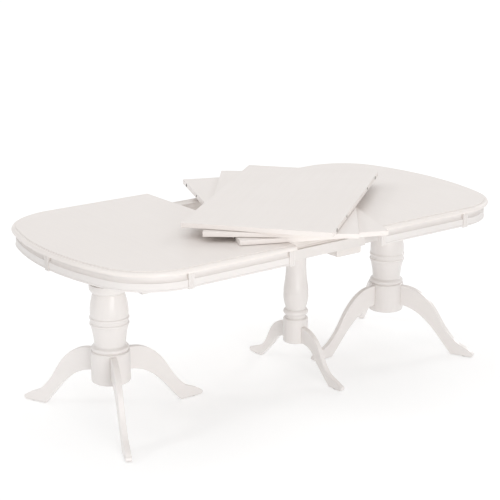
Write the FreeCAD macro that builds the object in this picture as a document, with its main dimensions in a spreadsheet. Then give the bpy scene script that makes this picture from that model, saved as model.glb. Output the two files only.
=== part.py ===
import FreeCAD, Part
import math
import os

import Sketcher
from FreeCAD import Placement, Rotation, Vector

# Pedestal extension table, drawn half open with its three leaves fanned on their swivel post.
# Frame: +X along the table, +Z up, the floor at Z = 0. X = 0 is the middle of the opening between the
# two halves, and the table's long centre line lies at Y = axis_y.
# Each half is modelled in its own frame: x runs outwards from its inner edge, y across from the
# centre line, z up from the floor. The right half sits unturned, the left half is turned by 180
# degrees about Z, so one set of functions makes both.
# All lengths are in millimetres and all angles in degrees.

SIZES = {
    # table top and its opening
    "table_width": 1067,
    "table_height": 758,
    "half_length": 805,
    "end_run": 310,
    "corner_radius": 270,
    "opening": 450,
    "axis_y": 45.72,
    "top_thickness": 20,
    "nose_thickness": 17,
    "step_inset": 17,
    "nose_round": 12,
    "nose_under": 4,
    "step_round": 1.5,
    # apron under the top
    "apron_inset": 16,
    "apron_thickness": 20,
    "apron_height": 60,
    "band_height": 32,
    "cove_depth": 9,
    "cove_height": 20,
    "bead_height": 7,
    "block_width": 25,
    "block_proud": 3,
    "block_drop": 4,
    "flute_radius": 2.5,
    "flute_spacing": 9,
    # leaves and their swivel
    "leaf_width": 600,
    "leaf_thickness": 20,
    "leaf_round": 2,
    "leaf_clearance": 1,
    "swivel_x": -19,
    "swivel_offset": 73,
    "turn_low": -22.8,
    "turn_middle": -40,
    "turn_top": -51.6,
    "post_radius": 9,
    "post_fit": 0.05,
    "collar_radius": 20,
    "collar_clearance": 1,
    "post_seat": 16,
    "blind_bore": 12,
    "post_play": 1,
    "ring_radius": 32,
    "ring_thickness": 0.7,
    "ring_fit": 0.5,
    # loose-dowel holes in the joint edges
    "dowel_radius": 4,
    "dowel_fit": 0.2,
    "dowel_depth": 20,
    "dowel_reach": 12,
    "dowel_end": 78.5,
    "dowel_pitch": 210,
    # wooden extension slides
    "slide_margin": 133.5,
    "slide_thickness": 24,
    "slide_gap": 0.5,
    "slide_bottom": 648,
    "slide_ledge": 42,
    "slide_rebate": 10,
    "slide_end": 185,
    "slide_overhang": 470,
    "centre_slide_length": 1240,
    "centre_slide_drop": 2,
    "slide_relief": 2,
    "cut_margin": 1,
    "groove_level": 686,
    "groove_height": 20,
    "groove_depth": 8,
    "tongue_height": 18,
    "tongue_length": 7,
    # centre frame
    "frame_x": 178,
    "bearer_width": 130,
    "bearer_height": 34,
    "bearer_round": 6,
    "beam_width": 100,
    "beam_height": 18,
    "beam_end": 60,
    # end pedestals
    "pedestal_end": 282.7,
    "cradle_length": 270,
    "cradle_level": 648,
    "cradle_plate": 20,
    "cheek_gap": 2,
    "cheek_thickness": 22,
    "base_radius": 79.5,
    "base_bottom": 166,
    "base_top": 297,
    "base_round": 6,
    "ring_line_radius": 75,
    "ring_top": 314,
    "waist_radius": 63.5,
    "waist_level": 321,
    "belly_radius": 79.7,
    "lower_bead": 410,
    "upper_bead": 434,
    "bead_half": 6,
    "bead_proud": 3.5,
    "line_step": 2.2,
    "throat_radius": 62.5,
    "throat_level": 538,
    "capital_radius": 77.6,
    "capital_bottom": 550,
    "capital_top": 575,
    "riser_radius": 60,
    "tenon_radius": 30,
    # end pedestal legs
    "leg_reach": 440,
    "leg_crown": 289,
    "leg_root": 198,
    "leg_thickness": 24,
    "leg_spread": 66.5,
    "toe_height": 20,
    "root_overlap": 8,
    "edge_round": 3,
    "glide_radius": 10,
    "glide_height": 3,
    "glide_inset": 45,
    # middle pedestal, which stands in front of the centre line, towards the swivel post
    "middle_forward": 35,
    "middle_base_radius": 54.3,
    "middle_base_bottom": 140,
    "middle_base_top": 251.5,
    "middle_cove_radius": 45.4,
    "middle_ring_radius": 54.6,
    "middle_ring_bottom": 266,
    "middle_ring_top": 292,
    "middle_waist_radius": 44.4,
    "middle_waist_level": 299,
    "middle_belly_radius": 53.8,
    "middle_belly_level": 366.5,
    "middle_belly_run": 25,
    "middle_belly_fall": 1,
    "middle_belly_bend": 120,
    "middle_neck_radius": 44.2,
    "middle_neck_level": 483.5,
    "middle_collar_radius": 48.6,
    "middle_collar_height": 14,
    "middle_leg_reach": 320,
    "middle_leg_crown": 216,
    "middle_leg_root": 142,
    "middle_leg_thickness": 22,
}

# Form of a leg between its root on the column and its toe, as shares of the way out and of the
# crown's height above the sole: the upper curve, the lower curve and where the sole begins.
LEG_CREST = ((0.12, 0.993), (0.25, 0.935), (0.37, 0.825), (0.487, 0.655), (0.585, 0.460), (0.69, 0.295),
             (0.79, 0.190), (0.88, 0.140))
LEG_BELLY = ((0.04, 0.672), (0.16, 0.628), (0.28, 0.548), (0.39, 0.436), (0.49, 0.305), (0.60, 0.140))
LEG_HEEL = 0.70
MIDDLE_LEG_CREST = ((0.10, 0.992), (0.22, 0.935), (0.365, 0.798), (0.456, 0.640), (0.53, 0.465),
                    (0.605, 0.329), (0.709, 0.225), (0.85, 0.155))
MIDDLE_LEG_BELLY = ((0.05, 0.655), (0.17, 0.622), (0.273, 0.535), (0.341, 0.432), (0.431, 0.308),
                    (0.546, 0.162))
MIDDLE_LEG_HEEL = 0.69

# Numbers that follow from the sizes, written as expressions on the sheet.
UNDERSIDE = "(Sizes.table_height - Sizes.top_thickness)"
HALF_WIDTH = "(Sizes.table_width / 2)"
SIDE_RUN = "(Sizes.half_length - Sizes.end_run)"
PEDESTAL_X = "(Sizes.half_length - Sizes.pedestal_end)"
APRON_FACE = "(Sizes.table_width / 2 - Sizes.apron_inset)"
APRON_BACK = "(Sizes.table_width / 2 - Sizes.apron_inset - Sizes.apron_thickness)"
APRON_BOTTOM = "(Sizes.table_height - Sizes.top_thickness - Sizes.apron_height)"
SWIVEL_Y = "(Sizes.axis_y - Sizes.swivel_offset)"
MIDDLE_Y = "(Sizes.axis_y - Sizes.middle_forward)"
BEARER_TOP = "(Sizes.slide_bottom - Sizes.centre_slide_drop)"
BEAM_TOP = f"({BEARER_TOP} + Sizes.beam_height)"
CRADLE_FLOOR = "(Sizes.cradle_level + Sizes.cradle_plate)"
LEAF_PITCH = "(Sizes.leaf_thickness + Sizes.leaf_clearance)"
DOWEL_OUTER = "(Sizes.table_width / 2 - Sizes.dowel_end)"
DOWEL_INNER = "(Sizes.table_width / 2 - Sizes.dowel_end - Sizes.dowel_pitch)"
DOWEL_ROW = [f"{sign} * {place}" for sign in (-1, 1) for place in (DOWEL_OUTER, DOWEL_INNER)]

doc = FreeCAD.newDocument("ExtensionTable")
sheet = doc.addObject("Spreadsheet::Sheet", "Sizes")
for row, (alias, number) in enumerate(SIZES.items(), start=1):
    sheet.set(f"A{row}", alias)
    sheet.set(f"B{row}", str(number))
    sheet.setAlias(f"B{row}", alias)
doc.recompute()

parts = []


def value(text):
    """The number that an expression on the sheet gives."""
    return float(sheet.evalExpression(str(text)))


def finish(solid, label):
    """Names a sub-part and adds it to the ones that are written out."""
    solid.Label = label
    parts.append(solid)
    return solid


def new_body(name):
    return doc.addObject("PartDesign::Body", name)


def new_sketch(body, name, role, offset="0"):
    """A sketch on one of the body's own origin planes, moved along that plane's normal."""
    sketch = body.newObject("Sketcher::SketchObject", name)
    plane = [feature for feature in body.Origin.OriginFeatures if feature.Role == role][0]
    sketch.AttachmentSupport = [(plane, "")]
    sketch.MapMode = "FlatFace"
    sketch.setExpression("AttachmentOffset.Base.z", offset)
    return sketch


def bind(sketch, kind, text, *where):
    """Adds a dimension whose number comes from an expression."""
    index = sketch.addConstraint(Sketcher.Constraint(kind, *where, value(text)))
    sketch.setExpression(f"Constraints[{index}]", str(text))


def arc_between(start, end, radius):
    """The short arc from start to end; a positive radius turns left. Says which end comes first."""
    chord = end - start
    height = math.sqrt(max(radius * radius - chord.Length ** 2 / 4, 0))
    left = Vector(-chord.y, chord.x, 0).normalize()
    centre = (start + end) * 0.5 + left * math.copysign(height, radius)
    first, last = (start, end) if radius > 0 else (end, start)
    angles = [math.atan2(point.y - centre.y, point.x - centre.x) for point in (first, last)]
    circle = Part.Circle(centre, Vector(0, 0, 1), abs(radius))
    return Part.ArcOfCircle(circle, *angles), (1, 2) if radius > 0 else (2, 1)


def outline(sketch, path):
    """Closed outline through corners that are tied to the sheet.

    Each step of the path is (x, y), a straight line to that corner, (x, y, radius), an arc to it, or
    (x, y, [points]), a smooth curve to it through loose points. The path ends where it starts.
    """
    corners = [Vector(value(step[0]), value(step[1]), 0) for step in path]
    ends = []
    for index, step in enumerate(path):
        start, end = corners[index - 1], corners[index]
        if len(step) == 2:
            geometry, order = Part.LineSegment(start, end), (1, 2)
        elif isinstance(step[2], list):
            through = [start] + [Vector(x, y, 0) for x, y in step[2]] + [end]
            geometry, order = Part.BSplineCurve(), (1, 2)
            geometry.interpolate(through)
        else:
            geometry, order = arc_between(start, end, value(step[2]))
        number = sketch.addGeometry(geometry)
        if len(step) == 3 and not isinstance(step[2], list):
            bind(sketch, "Radius", f"abs({step[2]})", number)
        ends.append((number, order))
    for index, step in enumerate(path):
        number, order = ends[index]
        following, next_order = ends[(index + 1) % len(path)]
        sketch.addConstraint(Sketcher.Constraint("Coincident", number, order[1], following, next_order[0]))
        bind(sketch, "DistanceX", step[0], -1, 1, number, order[1])
        bind(sketch, "DistanceY", step[1], -1, 1, number, order[1])


def circles(sketch, centres, radius):
    for x, y in centres:
        circle = Part.Circle(Vector(value(x), value(y), 0), Vector(0, 0, 1), value(radius))
        number = sketch.addGeometry(circle)
        bind(sketch, "Radius", radius, number)
        bind(sketch, "DistanceX", x, -1, 1, number, 3)
        bind(sketch, "DistanceY", y, -1, 1, number, 3)


def pad(body, sketch, length, symmetric=False):
    feature = body.newObject("PartDesign::Pad", sketch.Name + "_pad")
    feature.Profile = sketch
    feature.setExpression("Length", length)
    if symmetric:
        feature.SideType = "Symmetric"
    sketch.Visibility = False
    return feature


def pocket(body, sketch, depth, reverse=False):
    """Cuts against the sketch's normal, or along it when reversed, and makes sure that it cut."""
    doc.recompute()
    before = body.Shape.Volume
    feature = body.newObject("PartDesign::Pocket", sketch.Name + "_pocket")
    feature.Profile = sketch
    feature.Reversed = reverse
    feature.setExpression("Length", depth)
    doc.recompute()
    if body.Shape.Volume >= before:
        raise RuntimeError(f"{sketch.Name} cut nothing")
    return feature


def round_edges(body, name, chosen, radius):
    """Rounds the edges of the body's last shape for which chosen(edge) is true."""
    doc.recompute()
    base = body.Tip
    names = [f"Edge{number}" for number, edge in enumerate(base.Shape.Edges, start=1) if chosen(edge)]
    if not names:
        raise RuntimeError(f"{name} found no edge")
    feature = body.newObject("PartDesign::Fillet", name)
    feature.Base = (base, names)
    feature.setExpression("Radius", radius)
    doc.recompute()
    return feature


def place(solid, x="0", y="Sizes.axis_y", z="0", turn=0):
    """Turns a sub-part about Z and ties its place to the sheet."""
    solid.Placement = Placement(Vector(0, 0, 0), Rotation(Vector(0, 0, 1), turn))
    solid.setExpression("Placement.Base.x", x)
    solid.setExpression("Placement.Base.y", y)
    solid.setExpression("Placement.Base.z", z)


def seat_in_half(solid, side, x="0", turn=0):
    """Puts a piece that is drawn in a half's own frame into the table."""
    if side == "right":
        place(solid, x=f"Sizes.opening / 2 + {x}", turn=turn)
    else:
        place(solid, x=f"-Sizes.opening / 2 - ({x})", turn=turn + 180)


def box(label, x, y, z):
    """A plain board given by its (low, high) expressions along each axis, in its own frame."""
    body = new_body(label)
    sketch = new_sketch(body, label + "_plan", "XY_Plane", z[0])
    outline(sketch, [(x[0], y[0]), (x[1], y[0]), (x[1], y[1]), (x[0], y[1])])
    pad(body, sketch, f"({z[1]}) - ({z[0]})")
    doc.recompute()
    return body


# ---------------------------------------------------------------- table top and leaves


def end_radius():
    """Radius of the flat end curve that runs tangent into both corner curves."""
    run = value("Sizes.end_run")
    corner = value("Sizes.corner_radius")
    rise = value(HALF_WIDTH) - corner
    return (corner ** 2 - run ** 2 - rise ** 2) / (2 * (corner - run))


def half_outline(sketch, inset):
    """Plan of a half: two straight sides, two corner curves and one flat end curve, all tangent."""
    inset_size = value(inset)
    width, run = value(HALF_WIDTH), value(SIDE_RUN)
    corner = value("Sizes.corner_radius")
    end = end_radius()
    corner_y = width - corner
    end_x = value("Sizes.half_length") - end
    split = math.atan2(corner_y, run - end_x)
    z_up = Vector(0, 0, 1)

    def arc(x, y, radius, first, last):
        return Part.ArcOfCircle(Part.Circle(Vector(x, y, 0), z_up, radius - inset_size), first, last)

    edge = width - inset_size
    inner = sketch.addGeometry(Part.LineSegment(Vector(0, edge, 0), Vector(0, -edge, 0)))
    front = sketch.addGeometry(Part.LineSegment(Vector(0, -edge, 0), Vector(run, -edge, 0)))
    front_corner = sketch.addGeometry(arc(run, -corner_y, corner, -math.pi / 2, -split))
    far_end = sketch.addGeometry(arc(end_x, 0, end, -split, split))
    rear_corner = sketch.addGeometry(arc(run, corner_y, corner, split, math.pi / 2))
    rear = sketch.addGeometry(Part.LineSegment(Vector(run, edge, 0), Vector(0, edge, 0)))
    sketch.addConstraint(Sketcher.Constraint("Coincident", inner, 2, front, 1))
    sketch.addConstraint(Sketcher.Constraint("Tangent", front, 2, front_corner, 1))
    sketch.addConstraint(Sketcher.Constraint("Tangent", front_corner, 2, far_end, 1))
    sketch.addConstraint(Sketcher.Constraint("Tangent", far_end, 2, rear_corner, 1))
    sketch.addConstraint(Sketcher.Constraint("Tangent", rear_corner, 2, rear, 1))
    sketch.addConstraint(Sketcher.Constraint("Coincident", rear, 2, inner, 1))
    sketch.addConstraint(Sketcher.Constraint("PointOnObject", inner, 1, -2))
    sketch.addConstraint(Sketcher.Constraint("PointOnObject", inner, 2, -2))
    sketch.addConstraint(Sketcher.Constraint("PointOnObject", far_end, 3, -1))
    bind(sketch, "DistanceY", f"{HALF_WIDTH} - ({inset})", -1, 1, inner, 1)
    bind(sketch, "DistanceY", f"-({HALF_WIDTH} - ({inset}))", -1, 1, inner, 2)
    bind(sketch, "DistanceX", SIDE_RUN, -1, 1, front, 2)
    bind(sketch, "DistanceX", SIDE_RUN, -1, 1, rear, 1)
    bind(sketch, "Radius", f"Sizes.corner_radius - ({inset})", front_corner)
    bind(sketch, "Radius", f"Sizes.corner_radius - ({inset})", rear_corner)


def level(edge, height):
    """True for an edge that lies flat at one height."""
    return all(abs(vertex.Z - height) < 0.01 for vertex in edge.Vertexes) and \
        abs(edge.BoundBox.ZLength) < 0.01


def table_top(side):
    """One half of the top: a big quarter round with a low step above it, and holes in its inner edge."""
    label = f"{side}_top"
    body = new_body(label)
    nose = new_sketch(body, label + "_nose", "XY_Plane", UNDERSIDE)
    half_outline(nose, "0")
    pad(body, nose, "Sizes.nose_thickness")
    step = new_sketch(body, label + "_step", "XY_Plane", f"{UNDERSIDE} + Sizes.nose_thickness")
    half_outline(step, "Sizes.step_inset")
    pad(body, step, "Sizes.top_thickness - Sizes.nose_thickness")
    width = value(HALF_WIDTH)
    radii = (value("Sizes.corner_radius"), end_radius())
    inset = value("Sizes.step_inset")

    def on_outline(edge, shrink):
        """True for an edge that runs along the outline, moved inwards by shrink."""
        if hasattr(edge.Curve, "Radius"):
            return any(abs(edge.Curve.Radius - (radius - shrink)) < 0.01 for radius in radii)
        return abs(abs(edge.CenterOfMass.y) - (width - shrink)) < 0.01

    for name, shrink, height in (("nose_round", 0, f"{UNDERSIDE} + Sizes.nose_thickness"),
                                 ("nose_under", 0, UNDERSIDE),
                                 ("step_round", inset, "Sizes.table_height")):
        line = value(height)
        round_edges(body, f"{label}_{name}",
                    lambda edge: on_outline(edge, shrink) and level(edge, line), f"Sizes.{name}")
    holes = new_sketch(body, label + "_dowel_holes", "YZ_Plane")
    middle = f"{UNDERSIDE} + Sizes.top_thickness / 2"
    circles(holes, [(across, middle) for across in DOWEL_ROW], "Sizes.dowel_radius + Sizes.dowel_fit")
    pocket(body, holes, "Sizes.dowel_depth", reverse=True)
    seat_in_half(body, side)
    return finish(body, label)


def dowel_group(side):
    """Four beech dowels glued into the inner edge of one half, as one group of separate pins."""
    pins = []
    for across in DOWEL_ROW:
        pin = doc.addObject("Part::Cylinder", f"{side}_dowel")
        pin.setExpression("Radius", "Sizes.dowel_radius")
        pin.setExpression("Height", "Sizes.dowel_depth + Sizes.dowel_reach")
        pin.Placement = Placement(Vector(0, 0, 0), Rotation(Vector(0, 1, 0), 90))
        pin.setExpression("Placement.Base.x", "-Sizes.dowel_reach")
        pin.setExpression("Placement.Base.y", across)
        pin.setExpression("Placement.Base.z", f"{UNDERSIDE} + Sizes.top_thickness / 2")
        pins.append(pin)
    group = doc.addObject("Part::Compound", f"{side}_dowels")
    group.Links = pins
    seat_in_half(group, side)
    return finish(group, f"{side}_dowels")


def leaf(name, place_in_stack):
    """One leaf. Its frame's origin is the swivel axis at the leaf's underside."""
    label = f"leaf_{name}"
    body = new_body(label)
    centre = "Sizes.swivel_offset"
    left, right = f"({centre} - Sizes.leaf_width / 2)", f"({centre} + Sizes.leaf_width / 2)"

    near, far = f"({centre} - {HALF_WIDTH})", f"({centre} + {HALF_WIDTH})"
    board = new_sketch(body, label + "_board", "XY_Plane")
    outline(board, [(left, near), (right, near), (right, far), (left, far)])
    pad(body, board, "Sizes.leaf_thickness")
    ends = (value(near), value(far))
    round_edges(body, label + "_end_arrises",
                lambda edge: min(abs(edge.CenterOfMass.y - end) for end in ends) < 0.01
                and edge.BoundBox.XLength > 1, "Sizes.leaf_round")
    bore = new_sketch(body, label + "_bore", "XY_Plane")
    circles(bore, [("0", "0")], "Sizes.post_radius + Sizes.post_fit")
    depth = "Sizes.blind_bore" if name == "top" else "Sizes.leaf_thickness"
    pocket(body, bore, depth, reverse=True)
    for edge_name, edge_x, inwards in (("left", left, True), ("right", right, False)):
        holes = new_sketch(body, f"{label}_{edge_name}_holes", "YZ_Plane", edge_x)
        centres = [(f"{centre} + {across}", "Sizes.leaf_thickness / 2") for across in DOWEL_ROW]
        circles(holes, centres, "Sizes.dowel_radius + Sizes.dowel_fit")
        pocket(body, holes, "Sizes.dowel_depth", reverse=inwards)
    underside = f"Sizes.table_height + Sizes.leaf_clearance + {place_in_stack} * {LEAF_PITCH}"
    place(body, "Sizes.swivel_x", SWIVEL_Y, underside, value(f"Sizes.turn_{name}"))
    finish(body, label)
    ring = new_body(f"{label}_ring")
    sketch = new_sketch(ring, f"{label}_ring_plan", "XY_Plane")
    circles(sketch, [("0", "0")], "Sizes.ring_radius")
    circles(sketch, [("0", "0")], "Sizes.post_radius + Sizes.ring_fit")
    pad(ring, sketch, "Sizes.ring_thickness")
    place(ring, "Sizes.swivel_x", SWIVEL_Y, f"{underside} - Sizes.ring_thickness")
    finish(ring, f"{label}_ring")


# ---------------------------------------------------------------- apron and blocks


def apron_section(sketch, sign):
    """Draws the apron's section: bead, flat band, cove and a plain strip under the top."""
    face, back = f"{sign} * {APRON_FACE}", f"{sign} * {APRON_BACK}"
    bottom, top = APRON_BOTTOM, UNDERSIDE
    bead_top = f"{bottom} + Sizes.bead_height"
    band_top = f"{bottom} + Sizes.band_height"
    cove_top = f"{bottom} + Sizes.band_height + Sizes.cove_height"
    cove_face = f"{sign} * ({APRON_FACE} - Sizes.cove_depth)"
    outline(sketch, [
        (back, top),
        (back, bottom),
        (face, bottom),
        (face, bead_top, f"{sign} * Sizes.bead_height * 0.55"),
        (face, band_top),
        (cove_face, cove_top, f"-{sign} * (Sizes.cove_height * 0.6 + Sizes.cove_depth * 0.5)"),
        (cove_face, top),
    ])


def straight_apron(side, name, sign):
    """Straight rail between the corner block and the side block."""
    label = f"{side}_apron_{name}"
    body = new_body(label)
    sketch = new_sketch(body, label + "_section", "YZ_Plane", "Sizes.block_width")
    apron_section(sketch, sign)
    pad(body, sketch, f"{SIDE_RUN} - 2 * Sizes.block_width")
    seat_in_half(body, side)
    return finish(body, label)


def curved_apron(side, name, sign):
    """Bent rail from the side block round the corner to the end block."""
    label = f"{side}_curve_{name}"
    body = new_body(label)
    section = new_sketch(body, label + "_section", "YZ_Plane", SIDE_RUN)
    apron_section(section, sign)
    spine = new_sketch(body, label + "_spine", "XY_Plane", APRON_BOTTOM)
    corner, end = value("Sizes.corner_radius"), end_radius()
    inset = value("Sizes.apron_inset")
    run, corner_y = value(SIDE_RUN), value(HALF_WIDTH) - corner
    end_x = value("Sizes.half_length") - end
    split = math.atan2(corner_y, run - end_x)

    def arc(x, y, radius, first, last):
        low, high = sorted((sign * first, sign * last))
        circle = Part.Circle(Vector(x, sign * y, 0), Vector(0, 0, 1), radius - inset)
        return Part.ArcOfCircle(circle, low, high)

    first, second = (2, 1) if sign > 0 else (1, 2)
    bend = spine.addGeometry(arc(run, corner_y, corner, math.pi / 2, split))
    flat = spine.addGeometry(arc(end_x, 0, end, split, 0))
    spine.addConstraint(Sketcher.Constraint("Tangent", bend, second, flat, first))
    spine.addConstraint(Sketcher.Constraint("PointOnObject", flat, 3, -1))
    spine.addConstraint(Sketcher.Constraint("PointOnObject", flat, second, -1))
    bind(spine, "DistanceX", SIDE_RUN, -1, 1, bend, first)
    bind(spine, "DistanceX", SIDE_RUN, -1, 1, bend, 3)
    bind(spine, "DistanceY", f"{sign} * {APRON_FACE}", -1, 1, bend, first)
    bind(spine, "Radius", "Sizes.corner_radius - Sizes.apron_inset", bend)
    doc.recompute()
    sweep = body.newObject("PartDesign::AdditivePipe", label + "_sweep")
    sweep.Profile = section
    sweep.Spine = spine
    sweep.Transition = "Round corner"
    doc.recompute()
    trim = new_sketch(body, label + "_trim", "XY_Plane", UNDERSIDE)
    near = "Sizes.half_length - 3 * Sizes.apron_inset - 2 * Sizes.apron_thickness"
    far = "Sizes.half_length + Sizes.apron_thickness"
    outline(trim, [(near, "-Sizes.block_width / 2"), (far, "-Sizes.block_width / 2"),
                   (far, "Sizes.block_width / 2"), (near, "Sizes.block_width / 2")])
    pocket(body, trim, "2 * Sizes.apron_height")
    seat_in_half(body, side)
    return finish(body, label)


def fluted_block(label, side, face, back, along, sign, end=False):
    """Upright block with two flutes in its face. along is the (low, high) stretch beside the apron."""
    body = new_body(label)
    sketch = new_sketch(body, label + "_plan", "XY_Plane", f"{APRON_BOTTOM} - Sizes.block_drop")
    middle = f"(({along[0]}) + ({along[1]})) / 2"
    # An end block is drawn with x and y swapped, which also turns the way that its flutes bend.
    bend = f"{-1 if end else sign} * Sizes.flute_radius * 1.02"
    path = [(along[0], back), (along[0], face)]
    for offset in ("-Sizes.flute_spacing / 2", "Sizes.flute_spacing / 2"):
        path.append((f"{middle} + ({offset}) - Sizes.flute_radius", face))
        path.append((f"{middle} + ({offset}) + Sizes.flute_radius", face, bend))
    path += [(along[1], face), (along[1], back)]
    if end:
        path = [(step[1], step[0]) + step[2:] for step in path]
    outline(sketch, path)
    pad(body, sketch, "Sizes.apron_height + Sizes.block_drop")
    seat_in_half(body, side)
    return finish(body, label)


def half_blocks(side):
    """Five blocks: two at the inner corners, two where the sides end and one at the middle of the end."""
    for name, sign in (("front", -1 if side == "right" else 1), ("rear", 1 if side == "right" else -1)):
        face = f"{sign} * ({APRON_FACE} + Sizes.block_proud)"
        back = f"{sign} * {APRON_BACK}"
        fluted_block(f"{side}_corner_block_{name}", side, face, back, ("0", "Sizes.block_width"), sign)
        fluted_block(f"{side}_side_block_{name}", side, face, back,
                     (f"{SIDE_RUN} - Sizes.block_width", SIDE_RUN), sign)
    face = "Sizes.half_length - Sizes.apron_inset + Sizes.block_proud"
    back = "Sizes.half_length - Sizes.apron_inset - Sizes.apron_thickness"
    fluted_block(f"{side}_end_block", side, face, back,
                 ("-Sizes.block_width / 2", "Sizes.block_width / 2"), 1, end=True)


# ---------------------------------------------------------------- extension slides


def lane(number):
    """Outer face of a slide member, counted inwards from the outermost one."""
    return f"({HALF_WIDTH} - Sizes.slide_margin - {number} * (Sizes.slide_thickness + Sizes.slide_gap))"


def half_slide(side, name, sign, number):
    """Slide member that is screwed under a half: rebated outside when outermost, grooved for the tongue."""
    label = f"{side}_slide_{name}"
    body = new_body(label)
    sketch = new_sketch(body, label + "_section", "YZ_Plane", "-Sizes.slide_overhang")
    outer, inner = lane(number), f"({lane(number)} - Sizes.slide_thickness)"
    bottom, top = "Sizes.slide_bottom", UNDERSIDE
    low, high = "Sizes.groove_level", "Sizes.groove_level + Sizes.groove_height"
    if number == 0:
        rebate = f"({outer} - Sizes.slide_rebate)"
        shelf = f"{bottom} + Sizes.slide_ledge"
        deep = f"({inner} + Sizes.groove_depth)"
        path = [(outer, bottom), (outer, shelf), (rebate, shelf), (rebate, top), (inner, top),
                (inner, high), (deep, high), (deep, low), (inner, low), (inner, bottom)]
    else:
        deep = f"({outer} - Sizes.groove_depth)"
        path = [(outer, bottom), (outer, low), (deep, low), (deep, high), (outer, high), (outer, top),
                (inner, top), (inner, bottom)]
    outline(sketch, [(f"{sign} * {y}", z) for y, z in path])
    pad(body, sketch, "Sizes.slide_overhang + Sizes.half_length - Sizes.slide_end")
    # The stretch beyond the inner edge passes under the other half's top, so it is planed lower.
    relief = new_sketch(body, label + "_relief", "XY_Plane", UNDERSIDE)
    end = "-Sizes.slide_overhang - Sizes.cut_margin"
    near, far = f"{sign} * ({inner} - Sizes.cut_margin)", f"{sign} * ({outer} + Sizes.cut_margin)"
    outline(relief, [(end, near), ("0", near), ("0", far), (end, far)])
    pocket(body, relief, "Sizes.slide_relief")
    seat_in_half(body, side)
    return finish(body, label)


def centre_slide(name, sign):
    """Middle member of a slide, with a tongue on both sides. It carries the two half members."""
    label = f"centre_slide_{name}"
    body = new_body(label)
    sketch = new_sketch(body, label + "_section", "YZ_Plane", "-Sizes.centre_slide_length / 2")
    outer, inner = lane(1), f"({lane(1)} - Sizes.slide_thickness)"
    bottom, top = BEARER_TOP, f"{UNDERSIDE} - Sizes.centre_slide_drop"
    low = "Sizes.groove_level + (Sizes.groove_height - Sizes.tongue_height) / 2"
    high = "Sizes.groove_level + (Sizes.groove_height + Sizes.tongue_height) / 2"
    wide, deep = f"({outer} + Sizes.tongue_length)", f"({inner} - Sizes.tongue_length)"
    path = [(outer, bottom), (outer, low), (wide, low), (wide, high), (outer, high), (outer, top),
            (inner, top), (inner, high), (deep, high), (deep, low), (inner, low), (inner, bottom)]
    outline(sketch, [(f"{sign} * {y}", z) for y, z in path])
    pad(body, sketch, "Sizes.centre_slide_length")
    place(body, x="Sizes.frame_x")
    return finish(body, label)


# ---------------------------------------------------------------- pedestals


def turned(label, path):
    """A turned piece from its half section in the XZ plane, given from the bottom up."""
    body = new_body(label)
    sketch = new_sketch(body, label + "_section", "XZ_Plane")
    outline(sketch, path)
    turn = body.newObject("PartDesign::Revolution", label + "_turning")
    turn.Profile = sketch
    turn.ReferenceAxis = (sketch, ["V_Axis"])
    turn.Angle = 360
    doc.recompute()
    return body


def end_column(side):
    """Barrel column: base drum, ring, two beads, round capital, and a riser up to the cradle."""
    size = "Sizes."
    belly = f"{size}belly_radius"
    line = f"{size}line_step"
    shell = f"{belly} - {size}bead_proud"
    bead = f"({size}bead_half ^ 2 + {size}bead_proud ^ 2) / (2 * {size}bead_proud)"
    path = [
        ("0", f"{size}base_bottom"),
        (f"{size}base_radius - {size}base_round", f"{size}base_bottom"),
        (f"{size}base_radius", f"{size}base_bottom + {size}base_round", f"{size}base_round * 1.02"),
        (f"{size}base_radius", f"{size}base_top - {size}base_round"),
        (f"{size}ring_line_radius - {line}", f"{size}base_top", f"{size}base_round * 1.6"),
        (f"{size}ring_line_radius - {line}", f"{size}base_top + {line}"),
        (f"{size}ring_line_radius - {line}", f"{size}ring_top", f"({size}ring_top - {size}base_top) * 0.6"),
        (f"{size}waist_radius", f"{size}waist_level", f"-({size}ring_top - {size}base_top) * 1.1"),
        (shell, f"{size}lower_bead - {size}bead_half", f"-({size}lower_bead - {size}waist_level) * 4"),
        (shell, f"{size}lower_bead + {size}bead_half", bead),
        (shell, f"{size}upper_bead - {size}bead_half"),
        (shell, f"{size}upper_bead + {size}bead_half", bead),
        (f"{size}throat_radius", f"{size}throat_level", f"({size}throat_level - {size}upper_bead) * 2.4"),
        (f"{size}throat_radius + {line} / 2", f"{size}throat_level + {line}"),
        (f"{size}capital_radius", f"{size}capital_bottom + {size}base_round",
         f"({size}capital_radius - {size}throat_radius) * 1.3"),
        (f"{size}capital_radius", f"{size}capital_top"),
        (f"{size}riser_radius", f"{size}capital_top"),
        (f"{size}riser_radius", f"{size}cradle_level"),
        (f"{size}tenon_radius", f"{size}cradle_level"),
        (f"{size}tenon_radius", CRADLE_FLOOR),
        ("0", CRADLE_FLOOR),
    ]
    body = turned(f"{side}_column", path)
    seat_in_half(body, side, x=PEDESTAL_X)
    return finish(body, f"{side}_column")


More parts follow.
